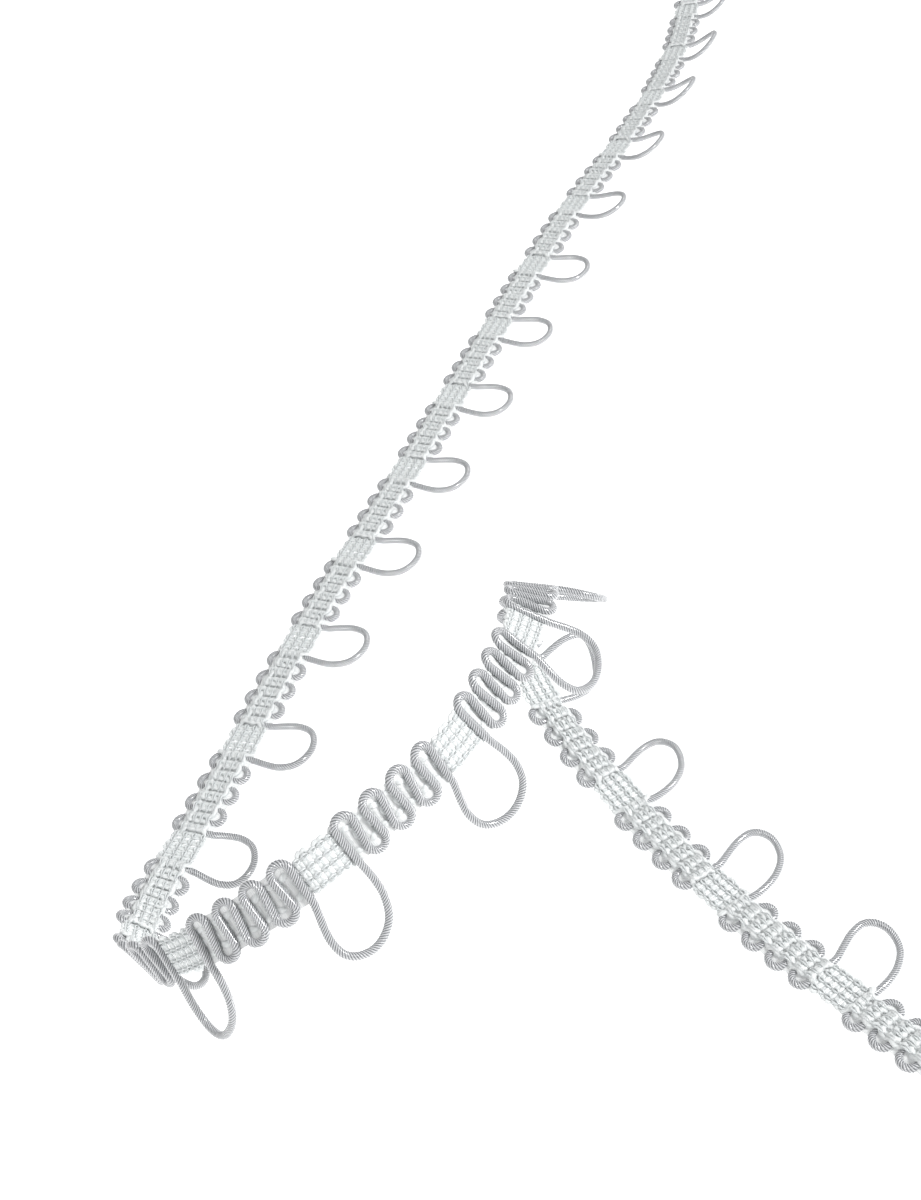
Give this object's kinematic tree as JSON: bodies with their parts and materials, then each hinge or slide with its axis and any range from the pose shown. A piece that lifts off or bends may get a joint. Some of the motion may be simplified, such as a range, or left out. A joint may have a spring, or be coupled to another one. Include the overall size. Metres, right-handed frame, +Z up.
{
  "type": "button loop tape",
  "caption": "Narrow elastic trim lying in a loose bend: a soft knitted tape with a covered elastic cord laid on it in close bends that stand out at one edge as button loops.",
  "frame": {"origin": "middle of the piece's footprint, on the surface that it lies on", "axes": "+Z up, +Y along the long flat run towards its far end, +X to the side that the flat runs' loops point to"},
  "size_m": [0.1422, 0.3242, 0.0389],
  "materials": {
    "knit": "soft translucent white yarn",
    "cord": "satin silver white thread wrap"
  },
  "bodies": {
    "root": {"ground_tape": "knit", "cord_bank_00": "cord", "cord_bank_01": "cord", "cord_bank_02": "cord", "cord_bank_03": "cord", "cord_bank_04": "cord", "cord_bank_05": "cord", "cord_bank_06": "cord", "cord_bank_07": "cord", "cord_bank_08": "cord", "cord_bank_09": "cord", "cord_bank_10": "cord", "cord_bank_11": "cord", "cord_bank_12": "cord", "cord_bank_13": "cord", "cord_bank_14": "cord", "cord_bank_15": "cord", "cord_bank_16": "cord", "cord_bank_17": "cord", "cord_bank_18": "cord", "cord_bank_19": "cord", "cord_bank_20": "cord", "cord_bank_21": "cord", "cord_bank_22": "cord", "button_loop_00": "cord", "button_loop_01": "cord", "button_loop_02": "cord", "button_loop_03": "cord", "button_loop_04": "cord", "button_loop_05": "cord", "button_loop_06": "cord", "button_loop_07": "cord", "button_loop_08": "cord", "button_loop_09": "cord", "button_loop_10": "cord", "button_loop_11": "cord", "button_loop_12": "cord", "button_loop_13": "cord", "button_loop_14": "cord", "button_loop_15": "cord", "button_loop_16": "cord", "button_loop_17": "cord", "button_loop_18": "cord", "button_loop_19": "cord", "button_loop_20": "cord", "button_loop_21": "cord", "button_loop_22": "cord", "button_loop_23": "cord", "cord_tail_first": "cord", "cord_tail_last": "cord"}
  },
  "joints": []
}
